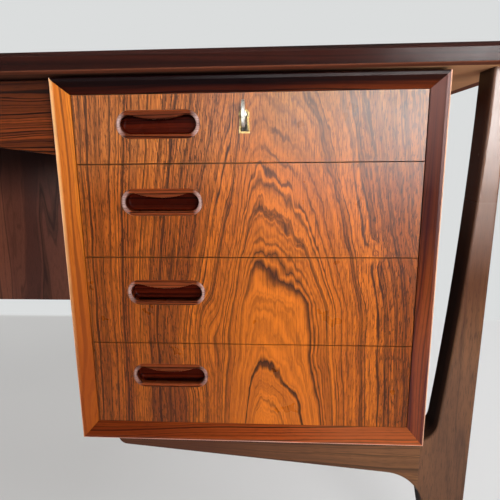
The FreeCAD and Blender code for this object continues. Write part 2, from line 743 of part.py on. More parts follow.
line = "opening_top"
for number in range(1, 5):
    pitch = "top_drawer_pitch" if number == 1 else "drawer_pitch"
    drop = "top_pull_drop" if number == 1 else "pull_drop"
    next_line = f"({line} - {pitch})"
    name = f"drawer_{number}"
    low = f"({next_line} + front_gap / 2)"
    front = box(name + "_front_board", ("case_inner + board + front_side_gap", "face", low),
                ("opening_width - 2 * front_side_gap", "front_thickness", f"{pitch} - front_gap"))
    pull_blank, cup = pull(name + "_pull", f"{line} - {drop}")
    seated = cut(name + "_front_seat", front, [pull_blank])
    if number == 1:
        node(f"right_{name}_front", cut(name + "_front_keyhole", seated, [liner_outside]))
        node(f"left_{name}_front", mirrored(name + "_front_mirror", seated, across))
    else:
        both_sides(name + "_front", seated)
    both_sides(name + "_pull", cup)
    both_sides(name + "_box", drawer_box(
        name + "_box_boards", f"({low} + box_edge_inset)", f"({line} - front_gap / 2 - box_edge_inset)"))
    line = next_line
right_runners = group("right_runners", case_runners)
node("drawer_runners", group("all_runners", [right_runners, mirrored("left_runners", right_runners, across)]))

doc.recompute()
failed = [item.Name for item in doc.Objects if {"Invalid", "Error"} & set(item.State)]
broken = [label for label, item in nodes.items() if item.Shape.isNull() or not item.Shape.isValid()]
if failed or broken:
    raise RuntimeError(f"failed objects {failed}, broken sub-parts {broken}")

os.makedirs("parts", exist_ok=True)
for label, item in nodes.items():
    item.Shape.exportStep(f"parts/{label}.step")
    print(label, len(item.Shape.Solids), round(item.Shape.Volume))
print(len(nodes), "sub-parts")
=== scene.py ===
import math
import bmesh
import bpy
from mathutils import Matrix, Vector

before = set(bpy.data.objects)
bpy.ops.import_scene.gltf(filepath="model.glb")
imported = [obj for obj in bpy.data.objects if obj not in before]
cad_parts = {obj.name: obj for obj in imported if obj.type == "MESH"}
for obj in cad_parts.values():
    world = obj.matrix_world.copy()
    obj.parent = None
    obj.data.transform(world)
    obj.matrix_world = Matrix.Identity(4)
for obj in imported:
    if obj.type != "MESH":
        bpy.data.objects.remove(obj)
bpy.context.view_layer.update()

print("desk loaded:", len(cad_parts), "pieces")


# small helpers for building finishes

usualNoise = (0.3, 0.7)         # most noise lies between these


def tint(red, green, blue):
    # screen colour to the linear colour a shader wants
    parts = [c / 255 for c in (red, green, blue)]
    parts = [c / 12.92 if c < 0.04045 else ((c + 0.055) / 1.055) ** 2.4 for c in parts]
    return (*parts, 1.0)


def feed(tree, socket, value):
    if isinstance(value, bpy.types.NodeSocket):
        tree.links.new(value, socket)
    else:
        socket.default_value = value


def addNode(tree, kind, inputs, **settings):
    made = tree.nodes.new("ShaderNode" + kind)
    for name, value in settings.items():
        setattr(made, name, value)
    for name, value in inputs.items():
        feed(tree, made.inputs[name], value)
    return made


def calc(tree, kind, *values):
    made = tree.nodes.new("ShaderNodeMath")
    made.operation = kind
    for socket, value in zip(made.inputs, values):
        feed(tree, socket, value)
    return made.outputs[0]


def times(tree, first, *others):
    for other in others:
        first = calc(tree, "MULTIPLY", first, other)
    return first


def squares(tree, a, b):
    return calc(tree, "ADD", times(tree, a, a), times(tree, b, b))


def spread(tree, value, low, high, toLow=0.0, toHigh=1.0, easing="LINEAR"):
    made = addNode(tree, "MapRange", {"Value": value, "From Min": low, "From Max": high,
                                      "To Min": toLow, "To Max": toHigh}, interpolation_type=easing)
    return made.outputs[0]


def blend(tree, amount, first, second, kind="MIX"):
    made = addNode(tree, "Mix", {}, data_type="RGBA", blend_type=kind)
    for place, value in ((0, amount), (6, first), (7, second)):     # factor and the two colours
        feed(tree, made.inputs[place], value)
    return made.outputs[2]


def ramp(tree, value, stops):
    made = addNode(tree, "ValToRGB", {0: value})
    band = made.color_ramp
    while len(band.elements) < len(stops):
        band.elements.new(0.5)
    for element, (place, colour) in zip(band.elements, stops):
        element.position = place
        element.color = colour if isinstance(colour, tuple) else (colour, colour, colour, 1)
    return made.outputs[0]


def noise(tree, place, scale, detail, rough):
    made = addNode(tree, "TexNoise", {"Vector": place, "Scale": scale, "Detail": detail, "Roughness": rough})
    return made.outputs[0]


def lineNoise(tree, place, scale, detail, rough):
    made = addNode(tree, "TexNoise", {"W": place, "Scale": scale, "Detail": detail, "Roughness": rough},
                   noise_dimensions="1D")
    return made.outputs[0]


def centred(tree, value):
    return calc(tree, "SUBTRACT", value, 0.5)


def point(tree, x, y, z):
    return addNode(tree, "CombineXYZ", {0: x, 1: y, 2: z}).outputs[0]


def startFinish(name):
    finish = bpy.data.materials.new(name)
    finish.use_nodes = True
    tree = finish.node_tree
    tree.nodes.clear()
    shader = tree.nodes.new("ShaderNodeBsdfPrincipled")
    end = tree.nodes.new("ShaderNodeOutputMaterial")
    tree.links.new(shader.outputs[0], end.inputs[0])
    spot = tree.nodes.new("ShaderNodeTexCoord").outputs["Object"]
    axes = addNode(tree, "SeparateXYZ", {0: spot}).outputs
    return finish, tree, shader, spot, axes


def giveRelief(tree, shader, height, strength, depth):
    made = addNode(tree, "Bump", {"Height": height, "Strength": strength, "Distance": depth})
    tree.links.new(made.outputs[0], shader.inputs["Normal"])


# flame-figured veneer on the drawer fronts: growth rings that arch over a heart line

flame = {
    "heart": 0.551,             # heart line of the figure, metres from the desk's middle
    "leftSqueeze": 0.56,        # rings stand closer on the kneehole side
    "rightEase": (0.72, 1.2, -0.024),       # and wider right of the heart: near slope, far slope and start
    "leftLean": (0.385, 0.68, 4.0, 0.09, 1.38),     # and lean to the heart: heights, then slopes at the top
    "climb": ((0.22, -0.0302), (0.32, -0.0662)),    # ring at the heart line, by height: slope and start
    "smallest": 0.004,          # least ring at the heart line
    "power": 2.5,               # how square the arches are
    "peakReach": 0.05,          # how far from the heart an arch is pointed
    "sway": (0.012, 0.046),     # slow wander, sideways and along
    "jag": (0.015, 0.0022),     # ragged arch tops, along and across the rings
    "teeth": (150, 2.0, 0.6),   # zigzag from fibre to fibre: how many a metre, detail, roughness
    "toothSlant": 0.03, "toothReach": 0.011,
    "evenStart": 0.066,         # fine lines follow rings that are drawn together further out
    "wobble": 0.004,            # stray of the fine lines
    "clusters": (48, 1.0, 0.5),         # bunches of fine lines: how many a metre, detail, roughness
    "bright": tint(183, 96, 18),
    "warm": tint(164, 84, 16),
    # pale: the colour of a painted sheen high on the kneehole side
    "pale": tint(178, 112, 56),
    "olive": tint(133, 86, 32),
    "brown": tint(92, 39, 8),
    "dark": tint(34, 10, 2),
    "ground": [(0.36, "brown"), (0.46, "warm"), (0.58, "bright")],      # colours by tone
    "warmShare": 0.7,           # stripes pull the ground to warm
    "brownShare": 0.72,         # and the low ones to brown
    "highDepth": 1.6,           # finest lines at the upper right
    "haloMost": 0.9,            # how far a knot clears the lines round it
    # dark rings: label, width and depth, in metres but the last
    "rings": [(0.0310, 0.0010, 0.45), (0.0480, 0.0028, 1.0), (0.0530, 0.0006, 0.6), (0.0590, 0.0004, 0.3),
              (0.0925, 0.0014, 1.0), (0.0990, 0.0012, 1.0)],
    "domeRings": [(0.0640, 0.0004, 0.3), (0.0748, 0.0018, 1.0), (0.0786, 0.0016, 1.0),
                  (0.0850, 0.0005, 0.45)],
    "outerRings": [(0.1055, 0.0005, 0.40), (0.1216, 0.0006, 0.45), (0.1336, 0.0017, 0.9),
                   (0.1450, 0.0008, 0.65), (0.1530, 0.0010, 0.6)],
    "ringEdge": (0.0004, 0.0003, 0.8),      # softness inside and outside, inner edge's share of the depth
    "reach": 0.42,              # widest ring
    # fine lines: how many a metre, width, faintest
    "lines": {"bold": (105, 0.0012, 0.55), "left": (140, 0.0013, 0.6), "fine": (240, 0.0009, 0.4),
              "finest": (430, 0.0008, 0.5)},
    "lineEdge": (0.8, 0.35),    # where a line starts and is full, as shares of its width
    # knots: across, height, half width, half height, push on the rings, glow
    "knots": [(0.690, 0.497, 0.016, 0.020, 0.006, 0.9), (0.458, 0.385, 0.046, 0.090, 0.018, 0.2)],
    # ring in the first knot: across, height, radius, width, depth
    "eye": (0.690, 0.496, 0.0032, 0.0014, 0.95),
    # how thick the brown stripes stand, by ring label over the reach
    "leftStripes": [(0.0, 0.12), (0.24, 0.25), (0.42, 0.40), (0.45, 0.95), (0.62, 0.92), (0.66, 0.40),
                    (0.73, 0.35), (0.745, 1.0), (0.775, 1.0), (0.79, 0.30), (0.83, 0.55), (1.0, 0.60)],
    "rightStripes": [(0.0, 0.12), (0.24, 0.25), (0.35, 0.40), (0.40, 0.85), (0.46, 0.95)],
    # noises: slice or None for the board's own depth, stretch along the grain, scale, detail, roughness
    "noises": {
        "drift": (0.3, 0.55, 13, 2.5, 0.5),
        "lift": (4.2, 1.0, 20.8, 2.5, 0.55),
        "ragged": (1.1, 0.10, 72, 2.5, 0.6),
        "fade": (2.7, 0.12, 60, 3, 0.6),
        "wobble": (5.1, 0.10, 90, 2, 0.6),
        "streaks": (0.0, 0.016, 300, 2, 0.65),
        "tone": (0.0, 0.006, 60, 2.5, 0.55),
        "hairs": (None, 0.11, 900, 2, 0.6),
        "silk": (None, 0.022, 820, 2.5, 0.7),
        "dashes": (None, 0.04, 800, 1, 0.5),
    },
    # where marks come and go: from, to, and what is given at each
    "masks": {
        "peak": (0.36, 0.43, 0.33, 0.0),            # pointed arches below, round ones above
        "lean": (0.42, 0.52, 0.0, 0.22),            # upper arches fall away to the right
        "outerUp": (0.50, 0.60, 0.0, 1.0),          # outer rings grow faint at the upper right
        "outerRight": (0.07, 0.10, 0.0, 1.0),
        "outerFaint": (0.0, 1.0, 1.0, 0.3),
        "dome": (-0.036, -0.010, 0.2, 1.0),         # dome rings fade left of the heart
        "strongFade": (0.30, 0.46, 0.8, 1.0),
        "cluster": (0.42, 0.56, 0.25, 1.0),
        "boldFade": (0.36, 0.48, 0.3, 1.0),
        "boldRing": (0.055, 0.10, 0.0, 1.0),
        "boldStripes": (0.4, 1.0, 0.95, 0.85),
        "softer": (0.0, 0.75, 1.0, 0.3),            # bold lines thin out at the upper right
        "leftLines": (-0.05, -0.09, 0.0, 1.0),
        "fineFade": (0.60, 0.48, 0.4, 1.0),
        "fineStripes": (0.1, 0.9, 0.55, 0.95),
        "finestFade": (0.36, 0.52, 0.3, 1.0),
        "finestStripes": (0.1, 0.9, 0.22, 0.95),
        "onLeft": (-0.004, 0.004, 1.0, 0.0),
        "lowLeft": (0.60, 0.32, 0.35, 1.15),        # brown gathers low on the left, at the far right
        "farRight": (0.11, 0.17, 0.0, 0.55),
        "highRight": (0.02, 0.13, 0.0, 0.75),       # and high on the right
        "highUp": (0.54, 0.64, 0.0, 1.0),
        "glowRing": (0.17, 0.09, 0.0, 0.72),        # bright heartwood
        "glowUp": (0.34, 0.40, 0.4, 1.0),
        # painted sheen: a pale coat high on the kneehole side stands in for the light's sheen
        "paintedSheenUp": (0.56, 0.63, 0.0, 0.5),
        "paintedSheenLeft": (0.0, -0.06, 0.0, 1.0),
        "oliveUp": (0.58, 0.68, 0.0, 0.8),
        "oliveRight": (-0.05, 0.02, 0.0, 1.0),
        "streaks": (0.52, 0.42, 0.0, 0.35),
        "silk": (0.58, 0.38, 0.0, 1.0),
        "silkStripes": (0.0, 1.0, 0.45, 0.75),
        "silkRing": (0.05, 0.12, 0.6, 1.0),
        "hairs": (0.45, 0.41, 0.0, 1.0),
        "hairStripes": (0.0, 1.0, 0.36, 0.80),
        "dashes": (0.35, 0.31, 0.0, 0.6),
        "calm": (0.060, 0.130, 0.35, 1.0),          # fewer hairs and dashes near the heart
        "polish": (*usualNoise, 0.27, 0.32),
    },
    "smear": (26, 3, 0.6),      # uneven polish: scale, detail, roughness
    "shine": 0.22,
    "relief": (0.08, 0.0003),
}


def figureNoise(board, name, across="side"):
    layer, stretch, scale, detail, rough = flame["noises"][name]
    if layer is None:
        layer = board["y"]
    tree = board["tree"]
    place = point(tree, board[across], layer, times(tree, board["z"], stretch))
    return noise(tree, place, scale, detail, rough)


def mask(board, name, value):
    return spread(board["tree"], value, *flame["masks"][name])


def knotPush(board, middle, height, wide, tall):
    tree = board["tree"]
    a = calc(tree, "DIVIDE", calc(tree, "SUBTRACT", board["side"], middle), wide)
    b = calc(tree, "DIVIDE", calc(tree, "SUBTRACT", board["z"], height), tall)
    return spread(tree, squares(tree, a, b), 1.0, 0.0, easing="SMOOTHERSTEP")


def flameRings(board):
    # gives the board its ring labels, counted outwards from the heart line
    tree, side, z = board["tree"], board["side"], board["z"]
    ragged = centred(tree, figureNoise(board, "ragged"))
    sideways, along = flame["sway"]
    across = calc(tree, "ADD", side, times(tree, centred(tree, figureNoise(board, "drift")), sideways))
    across = calc(tree, "SUBTRACT", across, flame["heart"])
    strand = calc(tree, "MULTIPLY_ADD", z, flame["toothSlant"], side)
    tooth = centred(tree, lineNoise(tree, strand, *flame["teeth"]))
    jagAlong, jagAcross = flame["jag"]
    up = calc(tree, "MULTIPLY_ADD", centred(tree, figureNoise(board, "lift")), along, z)
    up = calc(tree, "MULTIPLY_ADD", ragged, jagAlong, up)
    up = calc(tree, "MULTIPLY_ADD", tooth, flame["toothReach"], up)

    right = calc(tree, "MAXIMUM", across, 0.0)
    near, slope, begin = flame["rightEase"]
    eased = calc(tree, "MAXIMUM", times(tree, right, near), calc(tree, "MULTIPLY_ADD", right, slope, begin))
    right = calc(tree, "MINIMUM", right, eased)
    short = calc(tree, "MAXIMUM", times(tree, across, -1.0), 0.0)
    below, above, steep, begin, gentle = flame["leftLean"]
    topLeft = calc(tree, "MULTIPLY_ADD", short, gentle, begin)
    topLeft = calc(tree, "MINIMUM", times(tree, short, steep), topLeft)
    rise = spread(tree, z, below, above)
    left = times(tree, calc(tree, "DIVIDE", short, flame["leftSqueeze"]), calc(tree, "SUBTRACT", 1.0, rise))
    left = calc(tree, "MULTIPLY_ADD", topLeft, rise, left)
    far = calc(tree, "ADD", right, left)

    climbs = [calc(tree, "MULTIPLY_ADD", up, slope, begin) for slope, begin in flame["climb"]]
    crown = calc(tree, "MINIMUM", *climbs)
    nearHeart = calc(tree, "MINIMUM", far, flame["peakReach"])
    crown = calc(tree, "MULTIPLY_ADD", nearHeart, mask(board, "peak", z), crown)
    crown = calc(tree, "MULTIPLY_ADD", right, mask(board, "lean", z), crown)
    crown = calc(tree, "MAXIMUM", crown, flame["smallest"])
    power = flame["power"]
    ring = calc(tree, "ADD", calc(tree, "POWER", far, power), calc(tree, "POWER", crown, power))
    ring = calc(tree, "POWER", ring, 1 / power)
    ring = calc(tree, "MULTIPLY_ADD", ragged, jagAcross, ring)
    halo = 0.0
    for middle, height, wide, tall, push, glow in flame["knots"]:
        bump = knotPush(board, middle, height, wide, tall)
        ring = calc(tree, "MULTIPLY_ADD", bump, -push, ring)
        halo = calc(tree, "MULTIPLY_ADD", bump, glow, halo)
    board["across"] = across
    board["ring"] = ring
    board["halo"] = halo
    board["even"] = calc(tree, "MINIMUM", ring,
                         calc(tree, "MULTIPLY_ADD", ring, flame["leftSqueeze"], flame["evenStart"]))


def darkRings(board, rings):
    # a crisp outer edge and a softer inner one on each ring
    inside, outside, share = flame["ringEdge"]
    stops = []
    for label, width, depth in rings:
        marks = [(label - width * 0.5 - inside, 0.0), (label - width * 0.5, depth * share),
                 (label + width * 0.5, depth), (label + width * 0.5 + outside, 0.0)]
        stops += [(place / flame["reach"], shade) for place, shade in marks]
    return ramp(board["tree"], board["share"], stops)


def veins(tree, place, many, wide, faintest):
    # thin dark lines at random distances, each of its own depth
    cell = addNode(tree, "TexVoronoi", {"W": place, "Scale": many}, voronoi_dimensions="1D")
    start, full = [wide * many * edge for edge in flame["lineEdge"]]
    mark = spread(tree, cell.outputs["Distance"], start, full)
    return times(tree, mark, spread(tree, cell.outputs["Color"], 0.0, 1.0, faintest, 1.0))


def flameLines(board):
    # strong rings where the figure has them, finer ones at random between
    tree, across, z = board["tree"], board["across"], board["z"]
    fade = figureNoise(board, "fade")
    stray = centred(tree, figureNoise(board, "wobble"))
    strayed = calc(tree, "MULTIPLY_ADD", stray, flame["wobble"], board["even"])
    cluster = mask(board, "cluster", lineNoise(tree, board["even"], *flame["clusters"]))
    thin = {name: veins(tree, strayed, *sizes) for name, sizes in flame["lines"].items()}
    bold = times(tree, thin["bold"], mask(board, "boldFade", fade), mask(board, "boldRing", board["ring"]))
    bold = calc(tree, "MAXIMUM", bold, times(tree, thin["left"], mask(board, "leftLines", across), cluster))
    fine = times(tree, thin["fine"], mask(board, "fineFade", fade), cluster)
    finest = times(tree, thin["finest"], mask(board, "finestFade", fade), cluster)

    upperRight = times(tree, mask(board, "outerUp", z), mask(board, "outerRight", across))
    outer = times(tree, darkRings(board, flame["outerRings"]), mask(board, "outerFaint", upperRight))
    dome = times(tree, darkRings(board, flame["domeRings"]), mask(board, "dome", across))
    strong = calc(tree, "MAXIMUM", darkRings(board, flame["rings"]), outer)
    strong = times(tree, calc(tree, "MAXIMUM", strong, dome), mask(board, "strongFade", fade))
    return strong, bold, fine, finest


def knotEye(board):
    tree = board["tree"]
    middle, height, radius, width, depth = flame["eye"]
    a = calc(tree, "SUBTRACT", board["side"], middle)
    b = calc(tree, "SUBTRACT", board["z"], height)
    gap = calc(tree, "ABSOLUTE", calc(tree, "SUBTRACT", calc(tree, "SQRT", squares(tree, a, b)), radius))
    return spread(tree, gap, width, 0.0, 0.0, depth)


def flameVeneer():
    finish, tree, shader, spot, (x, y, z) = startFinish("flame_rosewood")
    board = {"tree": tree, "side": calc(tree, "ABSOLUTE", x), "y": y, "z": z}
    flameRings(board)
    across, ring, halo = board["across"], board["ring"], board["halo"]
    board["share"] = calc(tree, "DIVIDE", ring, flame["reach"])
    strong, bold, fine, finest = flameLines(board)

    onLeft = mask(board, "onLeft", across)
    rightStripes = ramp(tree, board["share"], flame["rightStripes"])
    leftStripes = ramp(tree, board["share"], flame["leftStripes"])
    stripes = blend(tree, onLeft, rightStripes, leftStripes)
    high = times(tree, mask(board, "highRight", across), mask(board, "highUp", z))
    low = times(tree, onLeft, mask(board, "lowLeft", z))
    for more in (mask(board, "farRight", across), high):
        low = calc(tree, "MAXIMUM", low, more)

    hairs = figureNoise(board, "hairs")
    calm = mask(board, "calm", ring)
    clear = calc(tree, "SUBTRACT", 1.0, calc(tree, "MINIMUM", halo, flame["haloMost"]))
    streaked = times(tree, mask(board, "streaks", figureNoise(board, "streaks", "even")), stripes)
    silky = times(tree, mask(board, "silk", figureNoise(board, "silk")), mask(board, "silkStripes", stripes),
                  mask(board, "silkRing", ring))
    haired = times(tree, mask(board, "hairs", hairs), mask(board, "hairStripes", stripes), calm)
    dashed = times(tree, mask(board, "dashes", figureNoise(board, "dashes")), calm)
    finestDepth = calc(tree, "MAXIMUM", mask(board, "finestStripes", stripes),
                       times(tree, high, flame["highDepth"]))
    boldDepth = times(tree, mask(board, "boldStripes", stripes), mask(board, "softer", high))

    # coats of colour over the ground, in order
    coats = [
        ("bright", times(tree, mask(board, "glowRing", ring), mask(board, "glowUp", z))),
        ("warm", times(tree, stripes, flame["warmShare"])),
        ("brown", times(tree, stripes, low, flame["brownShare"])),
        ("bright", calc(tree, "MINIMUM", halo, 1.0)),
        # painted sheen, high on the kneehole side
        ("pale", times(tree, mask(board, "paintedSheenUp", z), mask(board, "paintedSheenLeft", across))),
        ("olive", times(tree, mask(board, "oliveUp", z), mask(board, "oliveRight", across))),
        ("brown", streaked),
        ("brown", silky),
        ("dark", haired),
        ("dark", dashed),
        ("dark", times(tree, fine, mask(board, "fineStripes", stripes), clear)),
        ("dark", times(tree, finest, finestDepth, clear)),
        ("dark", times(tree, bold, boldDepth, clear)),
        ("dark", strong),
        ("brown", knotEye(board)),
    ]
    ground = [(place, flame[colour]) for place, colour in flame["ground"]]
    base = ramp(tree, figureNoise(board, "tone", "even"), ground)
    for colour, amount in coats:
        base = blend(tree, amount, base, flame[colour])
    feed(tree, shader.inputs["Base Color"], base)
    feed(tree, shader.inputs["Roughness"], mask(board, "polish", noise(tree, spot, *flame["smear"])))
    shader.inputs["Specular IOR Level"].default_value = flame["shine"]
    giveRelief(tree, shader, hairs, *flame["relief"])
    return finish


# painted highlight along the frame's outer arris, round each pedestal but for its top

stileCorners = [corner.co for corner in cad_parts["right_frame_stiles"].data.vertices]
arris = {"inner": min(corner.x for corner in stileCorners), "outer": max(corner.x for corner in stileCorners),
         "bottom": min(corner.z for corner in stileCorners), "width": 0.0020, "full": 0.0008,
         "face": (-0.326, -0.327),       # only on the front
         "highlightPatches": (0.3, 0.6, 0.45, 0.9)}        # more in some places than in others


def paintedArrisHighlight(tree, axes, smear):
    side = calc(tree, "ABSOLUTE", axes[0])
    near = calc(tree, "MINIMUM", calc(tree, "SUBTRACT", side, arris["inner"]),
                calc(tree, "SUBTRACT", arris["outer"], side))
    near = calc(tree, "MINIMUM", near, calc(tree, "SUBTRACT", axes[2], arris["bottom"]))
    edge = spread(tree, near, arris["width"], arris["full"])
    return times(tree, edge, spread(tree, axes[1], *arris["face"]), spread(tree, smear, *arris["highlightPatches"]))


# straight-grained wood for solid and veneered boards, rings about a pith line beside the board

plainBoard = {      # what a wood has unless it says otherwise
    # noises along the grain: stretch, scale, detail, roughness
    "slow": (0.12, 16, 2.5, 0.55), "fibres": (0.035, 320, 3, 0.6), "pores": (0.05, 1100, 2, 0.6),
    "wander": 0.02, "fray": 0.0016,     # how far the slow noise and the fibres push the rings
    "taper": 0.004,             # rings draw in along the board
    "lineRuffle": (3, 0.62), "lineEdge": 0.30, "lineEnd": 0.50, "lineDepth": 0.8,
    "toneShare": 0.22, "toneRuffle": (2, 0.5), "tone": (0.34, 0.62),        # broad bands behind the lines
    "poreEdge": (0.34, 0.46), "poreDepth": 0.35,
    "smear": (22, 3, 0.6),      # uneven polish: scale, detail, roughness
    "rough": (0.30, 0.40), "shine": 0.15, "relief": 0.10, "reliefDepth": 0.0004,
    # tints by place: axis, start, full, amount and colour, and then, for some, axis, start and full within
    "tinted": [],
    "shaded": [],               # the same, but multiplied
    "matt": [], "mattRough": 0.9,       # unpolished heights
}


def reachMask(tree, axes, letter, start, full, amount=1.0):
    return spread(tree, calc(tree, "ABSOLUTE", axes["XYZ".index(letter)]), start, full, 0.0, amount)


def tintByPlace(tree, axes, base, tints, kind):
    for letter, start, full, amount, colour, *within in tints:
        reach = reachMask(tree, axes, letter, start, full, amount)
        if within:
            reach = times(tree, reach, reachMask(tree, axes, *within))
        base = blend(tree, reach, base, colour, kind)
    return base


def boardNoise(tree, grain, stretch, scale, detail, rough):
    along, across, deep = grain
    return noise(tree, point(tree, times(tree, along, stretch), across, deep), scale, detail, rough)


def boardRings(tree, grain, wood):
    along, across, deep = grain
    wander = centred(tree, boardNoise(tree, grain, *wood["slow"]))
    ragged = centred(tree, boardNoise(tree, grain, *wood["fibres"]))
    first, second = wood["pith"]
    a = calc(tree, "SUBTRACT", across, first)
    b = calc(tree, "SUBTRACT", deep, second)
    ring = calc(tree, "SQRT", squares(tree, a, b))
    for push, reach in ((wander, wood["wander"]), (along, wood["taper"]), (ragged, wood["fray"])):
        ring = calc(tree, "ADD", ring, times(tree, push, reach))
    return ring


def inwardFace(tree, axes, inward):
    # the leg's face toward the pedestal lies in the dark, and its front edge catches some light
    normal = tree.nodes.new("ShaderNodeTexCoord").outputs["Normal"]
    facing = times(tree, addNode(tree, "SeparateXYZ", {0: normal}).outputs[0], calc(tree, "SIGN", axes[0]))
    return times(tree, spread(tree, facing, *inward["facing"]), spread(tree, axes[1], *inward["front"]))


def paintedRimGlints(tree, axes, dash, ends):
    # painted highlight on the rounded ends of the pull's rim
    place = calc(tree, "ABSOLUTE", calc(tree, "SUBTRACT", calc(tree, "ABSOLUTE", axes[0]), ends["middle"]))
    return times(tree, spread(tree, place, *ends["start"]), spread(tree, axes[1], *ends["face"]),
                 spread(tree, place, *ends["rim"]), spread(tree, axes[2], *ends["height"]),
                 spread(tree, dash, *ends["patchy"]))


def grainedWood(name, wood):
    wood = {**plainBoard, **wood}
    finish, tree, shader, spot, axes = startFinish(name)
    grain = [axes["XYZ".index(letter)] for letter in wood["grain"]]
    ring = boardRings(tree, grain, wood)
    lines = lineNoise(tree, ring, wood["lines"], *wood["lineRuffle"])
    tone = lineNoise(tree, ring, wood["lines"] * wood["toneShare"], *wood["toneRuffle"])
    light, middle, dark = wood["colours"]
    base = ramp(tree, tone, list(zip(wood["tone"], (middle, light))))
    mark = ramp(tree, lines, [(wood["lineEdge"], 1.0), (wood["lineEnd"], 0.0)])
    base = blend(tree, times(tree, mark, wood["lineDepth"]), base, dark)
    dash = boardNoise(tree, grain, *wood["pores"])
    pores = ramp(tree, dash, list(zip(wood["poreEdge"], (1.0, 0.0))))
    base = blend(tree, times(tree, pores, wood["poreDepth"]), base, dark)
    smear = noise(tree, spot, *wood["smear"])
    base = tintByPlace(tree, axes, base, wood["tinted"], "MIX")
    base = tintByPlace(tree, axes, base, wood["shaded"], "MULTIPLY")
    if "inward" in wood:
        base = blend(tree, inwardFace(tree, axes, wood["inward"]), base, wood["inward"]["colour"])
    # painted highlight on the ends of the pull's rim
    if "ends" in wood:
        base = blend(tree, paintedRimGlints(tree, axes, dash, wood["ends"]), base, wood["ends"]["colour"])
    # painted highlight along the frame's outer arris
    if "arrisHighlight" in wood:
        base = blend(tree, paintedArrisHighlight(tree, axes, smear), base, wood["arrisHighlight"])
    feed(tree, shader.inputs["Base Color"], base)
    rough = spread(tree, smear, *usualNoise, *wood["rough"])
    for start, full in wood["matt"]:
        dull = spread(tree, axes[2], start, full, 0.0, wood["mattRough"])
        rough = calc(tree, "MAXIMUM", rough, dull)
    feed(tree, shader.inputs["Roughness"], rough)
    shader.inputs["Specular IOR Level"].default_value = wood["shine"]
    giveRelief(tree, shader, dash, wood["relief"], wood["reliefDepth"])
    return finish


rosewoodGold = (tint(184, 104, 24), tint(148, 73, 14), tint(46, 19, 6))
rosewoodDark = (tint(46, 17, 11), tint(27, 9, 6), tint(10, 5, 3))
greyBrown = (tint(105, 69, 42), tint(77, 50, 32), tint(28, 18, 12))
lipping = {"lines": 200, "colours": rosewoodDark, "rough": (0.17, 0.24), "shine": 0.13,
           "tinted": [("Z", 0.7075, 0.7062, 0.7, tint(116, 62, 40))],
           "matt": [(0.7075, 0.7062), (0.7200, 0.7206)]}

